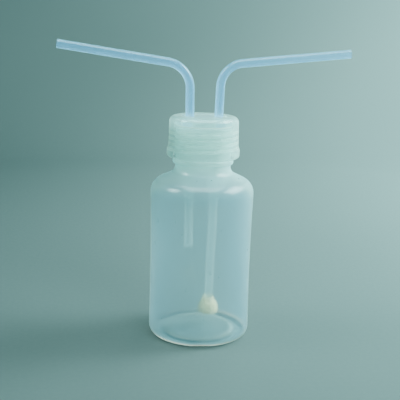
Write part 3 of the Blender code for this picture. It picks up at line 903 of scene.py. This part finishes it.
def make_materials():
    blown_wall = {
        "colour": (0.25, 0.73, 0.97),
        "colour_to": (0.31, 0.78, 1.0),
        "thick_colour": (0.68, 0.99, 1.0),
        "tint": (0.955, 0.988, 0.980),
        "thick_tint": (0.97, 0.95, 0.87),
        "shade": (0.76, 0.73, 0.72),
        "thick_shade": (0.50, 0.52, 0.51),
        # Unit height of the painted shade and painted glint round the stand ring
        "painted_rim_height": 0.0016,
        "whitening": (1.3, 5.5),
        "haze": (0.057, 0.072),
        "roughness": (0.27, 0.32),
        "index": 1.08,
        "gloss": 0.21,
        "mottle": 45.0,
        "grain": 130.0,
        "bump": 0.000003,
    }
    bottle = milky_plastic("milky_bottle", blown_wall)
    # The inner wall gets no painted shade or glint at its rim.
    inner_look = {key: value for key, value in blown_wall.items() if key != "painted_rim_height"}
    bottle_inner = milky_plastic("milky_bottle_inner", inner_look | {"coat": 0.0})
    cap = milky_plastic("milky_cap", {
        "colour": (0.62, 0.97, 0.96),
        "colour_to": (0.70, 1.0, 0.98),
        "thick_colour": (0.84, 1.0, 0.92),
        "tint": (0.975, 0.985, 0.96),
        "thick_tint": (0.96, 0.97, 0.90),
        "shade": (0.85, 0.88, 0.86),
        "thick_shade": (0.75, 0.77, 0.74),
        "whitening": (1.2, 6.0),
        "haze": (0.155, 0.195),
        "roughness": (0.08, 0.12),
        "index": 1.15,
        "gloss": 0.14,
        "mottle": 90.0,
        "grain": 300.0,
        "bump": 0.00001,
    })
    pipe_wall = {
        "colour": (0.15, 0.62, 0.98),
        "colour_to": (0.22, 0.67, 1.0),
        "thick_colour": (0.55, 0.93, 0.95),
        "tint": (0.97, 0.99, 1.0),
        "thick_tint": (0.97, 0.99, 1.0),
        "shade": (0.85, 0.88, 0.90),
        "thick_shade": (0.85, 0.88, 0.90),
        "whitening": (1.3, 5.0),
        "haze": (0.265, 0.315),
        "roughness": (0.15, 0.20),
        "index": 1.35,
        "gloss": 0.22,
        "mottle": 160.0,
        "grain": 400.0,
        "bump": 0.00001,
    }
    tube = milky_plastic("milky_tube", pipe_wall)
    leg_look = {"colour": (0.60, 0.88, 0.82), "colour_to": (0.66, 0.90, 0.84)}
    leg_look |= {"haze": (0.36, 0.42), "roughness": (0.35, 0.40), "index": 1.08, "coat": 0.0}
    leg_look["least_slant"] = 1.0
    leg = milky_plastic("milky_leg", pipe_wall | leg_look)
    bore = milky_plastic("milky_bore", {
        "colour": (0.40, 0.74, 0.97),
        "colour_to": (0.48, 0.79, 0.98),
        "thick_colour": (0.60, 0.84, 0.97),
        "tint": (0.97, 0.99, 1.0),
        "thick_tint": (0.97, 0.99, 1.0),
        "shade": (0.92, 0.94, 0.95),
        "thick_shade": (0.92, 0.94, 0.95),
        "whitening": (1.3, 5.0),
        "haze": (0.03, 0.05),
        "roughness": (0.3, 0.36),
        "index": 1.08,
        "coat": 0.0,
        "gloss": 0.1,
        "mottle": 160.0,
        "grain": 400.0,
        "bump": 0.00001,
    })
    insert = milky_plastic("milky_insert", {
        "colour": (0.50, 0.88, 0.97),
        "colour_to": (0.58, 0.92, 0.98),
        "thick_colour": (0.84, 0.95, 0.92),
        "tint": (0.98, 0.99, 0.97),
        "thick_tint": (0.98, 0.99, 0.97),
        "shade": (0.8, 0.83, 0.82),
        "thick_shade": (0.8, 0.83, 0.82),
        "whitening": (1.2, 6.0),
        "haze": (0.18, 0.23),
        "roughness": (0.08, 0.14),
        "index": 1.2,
        "gloss": 0.08,
        "mottle": 90.0,
        "grain": 300.0,
        "bump": 0.00001,
    })
    seal = matte_plastic("white_seal", {
        "colour": (0.86, 0.88, 0.85),
        "colour_to": (0.90, 0.91, 0.88),
        "roughness": (0.4, 0.55),
        "waxy": 0.0,
        "mottle": 300.0,
        "grain": 1500.0,
        "bump": 0.00003,
    })
    dome = matte_plastic("white_sparger", {
        "colour": (0.95, 0.94, 0.52),
        "colour_to": (0.98, 0.98, 0.60),
        "roughness": (0.35, 0.5),
        "waxy": 0.4,
        "mottle": 300.0,
        "grain": 900.0,
        "stretch": (1.0, 1.0, 8.0),
        "bump": 0.00005,
    })
    frit = matte_plastic("porous_disc", {
        "colour": (0.74, 0.74, 0.68),
        "colour_to": (0.90, 0.90, 0.84),
        "roughness": (0.75, 0.95),
        "waxy": 0.0,
        "mottle": 2500.0,
        "grain": 4000.0,
        "bump": 0.00012,
    })
    return bottle, bottle_inner, cap, tube, leg, bore, insert, seal, dome, frit


# ---------------------------------------------------------------- the object
def fit(piece, node):
    """The piece stands for a CAD node and moves with that node's body."""
    bodies = frame["record"]["behaviour"]["bodies"]
    body = next(name for name, members in bodies.items() if node in members)
    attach(piece, body)
    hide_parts(node)


def make_object():
    bottle, bottle_inner, cap, tube, leg, bore, insert, seal, dome, frit = make_materials()
    fit(make_bottle(bottle, bottle_inner), "bottle")
    fit(make_cap(cap), "screw_cap")
    fit(make_insert(insert), "port_insert")
    gasket = make_ring(
        "neck_gasket",
        NECK_SEAL_INNER,
        NECK_SEAL_OUTER,
        NECK_TOP + GAP,
        FLANGE_LOW - GAP,
        seal,
        ROUND,
    )
    fit(gasket, "neck_seal")
    inlet_place = port_matrix("inlet_swivel")
    outlet_place = port_matrix("outlet_swivel")
    grip_low = PLUG_LOW + GAP - PORT_MIDDLE
    grip_high = PORT_POCKET_TOP - GAP - PORT_MIDDLE
    for label, place in (("inlet", inlet_place), ("outlet", outlet_place)):
        grip = make_ring(
            f"{label}_grip",
            SEAL_INNER_RADIUS,
            SEAL_OUTER_RADIUS,
            grip_low,
            grip_high,
            seal,
            SMALL_ROUND,
        )
        grip.matrix_world = place
        fit(grip, f"{label}_port_seal")
    inlet_leg = PORT_MIDDLE - SPARGER_LOW - SOCKET_FLOOR - GAP
    outlet_leg = (PORT_MIDDLE - OUTLET_END_HEIGHT) / math.cos(OUTLET["lean"])
    inlet = make_tube("inlet_pipe", INLET, inlet_leg, inlet_place, tube, leg, bore)
    outlet = make_tube("outlet_pipe", OUTLET, outlet_leg, outlet_place, tube, leg, bore)
    fit(inlet, "inlet_tube")
    fit(outlet, "outlet_tube")
    head, disc = make_sparger(inlet_place, dome, frit)
    fit(head, "sparger_dome")
    fit(disc, "sparger_frit")


# ---------------------------------------------------------------- floor, lights, camera
FLOOR_FLAT = 0.75                # the floor is flat this far out, then sweeps up all round
SWEEP_RADIUS = 0.55
WALL_TOP = 1.9
FLOOR_DROP = 0.0002              # keeps the floor clear of the ring that stands on it
DAYLIGHT = (0.64, 1.0, 1.0)      # all the lamps and the sky are of this one cool colour


def make_floor():
    """A plain pale floor that sweeps up into a wall all round, with no corner."""
    outline = rounded([
        (FLOOR_FLAT + SWEEP_RADIUS, WALL_TOP, 0.0),
        (FLOOR_FLAT + SWEEP_RADIUS, 0.0, SWEEP_RADIUS),
        (0.0, 0.0, 0.0),
    ], steps=24)
    material, nodes, links, floor_output = node_tree("pale_floor")
    shader = nodes.new("ShaderNodeBsdfPrincipled")
    broad = mottled(nodes, links, 3.0)
    fine = mottled(nodes, links, 300.0, detail=2.0)
    colour = blended(nodes, links, broad, (0.096, 0.131, 0.126), (0.102, 0.138, 0.132))
    shader.inputs["Specular IOR Level"].default_value = 0.1
    links.new(colour, shader.inputs["Base Color"])
    links.new(ranged(nodes, links, fine, 0.6, 0.75), shader.inputs["Roughness"])
    links.new(bumped(nodes, links, fine, 0.0001), shader.inputs["Normal"])
    links.new(shader.outputs[0], floor_output.inputs["Surface"])
    floor = turned("floor", outline, ring_angles(96), [material], closed=False)
    floor.location.z = -FLOOR_DROP


def softbox(name, place, aim, width, height, power, spread, mirrored=True):
    """A rectangular studio light that shines at a point and isn't itself seen.

    spread is how wide it shines, in degrees, as a grid on a real softbox sets it.  One that
    isn't mirrored gives no highlights, as if a flag stood between it and the object.
    Returns the lamp.
    """
    light = bpy.data.lights.new(name, "AREA")
    light.shape = "RECTANGLE"
    light.size = width
    light.size_y = height
    light.energy = power
    light.color = DAYLIGHT
    light.spread = math.radians(spread)
    lamp = bpy.data.objects.new(name, light)
    bpy.context.collection.objects.link(lamp)
    lamp.location = place
    lamp.rotation_euler = (Vector(aim) - Vector(place)).to_track_quat("-Z", "Y").to_euler()
    lamp.visible_camera = False
    lamp.visible_transmission = False
    lamp.visible_glossy = mirrored
    return lamp


def make_lights():
    middle = (0.0, 0.0, 0.1)
    # name, place, what it shines at, width, height, watts, spread
    softbox("key", (0.51, 0.065, 0.57), middle, 0.58, 0.30, 3.0, 110.0)
    softbox("fill", (-0.76, 0.00, 0.78), middle, 0.65, 0.45, 0.50, 35.0)
    softbox("front", (0.50, -0.85, 0.70), middle, 0.90, 0.35, 2.6, 60.0, mirrored=False)
    # The card overhead shows in highlights alone, and joins the two on the shoulder.
    card = softbox("card", (0.0, 0.0, 1.10), middle, 0.9, 1.0, 15.0, 180.0)
    card.visible_diffuse = False
    softbox("backdrop", (0.95, 0.35, 0.50), (0.45, 1.1, 0.25), 0.4, 0.4, 22.0, 120.0, mirrored=False)
    softbox("far_side", (1.00, 0.75, 0.60), (0.80, 1.3, 0.40), 0.4, 0.4, 19.0, 120.0, mirrored=False)
    softbox("floor_side", (0.80, 0.20, 0.40), (0.50, 0.20, 0.0), 0.4, 0.3, 14.0, 120.0, mirrored=False)
    softbox("floor_back", (0.50, 1.00, 0.80), (0.40, 0.60, 0.0), 0.4, 0.3, 5.0, 90.0, mirrored=False)
    world = bpy.data.worlds.new("studio")
    bpy.context.scene.world = world
    world.use_nodes = True
    background = world.node_tree.nodes["Background"]
    background.inputs["Color"].default_value = (*DAYLIGHT, 1.0)
    background.inputs["Strength"].default_value = 0.15


def make_camera():
    lens = bpy.data.cameras.new("camera")
    lens.sensor_width = SENSOR
    lens.lens = LENS
    lens.clip_start = 0.01
    lens.dof.use_dof = False
    camera = bpy.data.objects.new("camera", lens)
    bpy.context.collection.objects.link(camera)
    look = Matrix.Rotation(CAMERA_TURN, 4, "Z")
    look @= Matrix.Rotation(math.pi / 2 + CAMERA_PITCH, 4, "X")
    look @= Matrix.Rotation(CAMERA_ROLL, 4, "Z")
    camera.matrix_world = Matrix.Translation(CAMERA_PLACE) @ look
    bpy.context.scene.camera = camera


make_object()
make_floor()
make_lights()
make_camera()
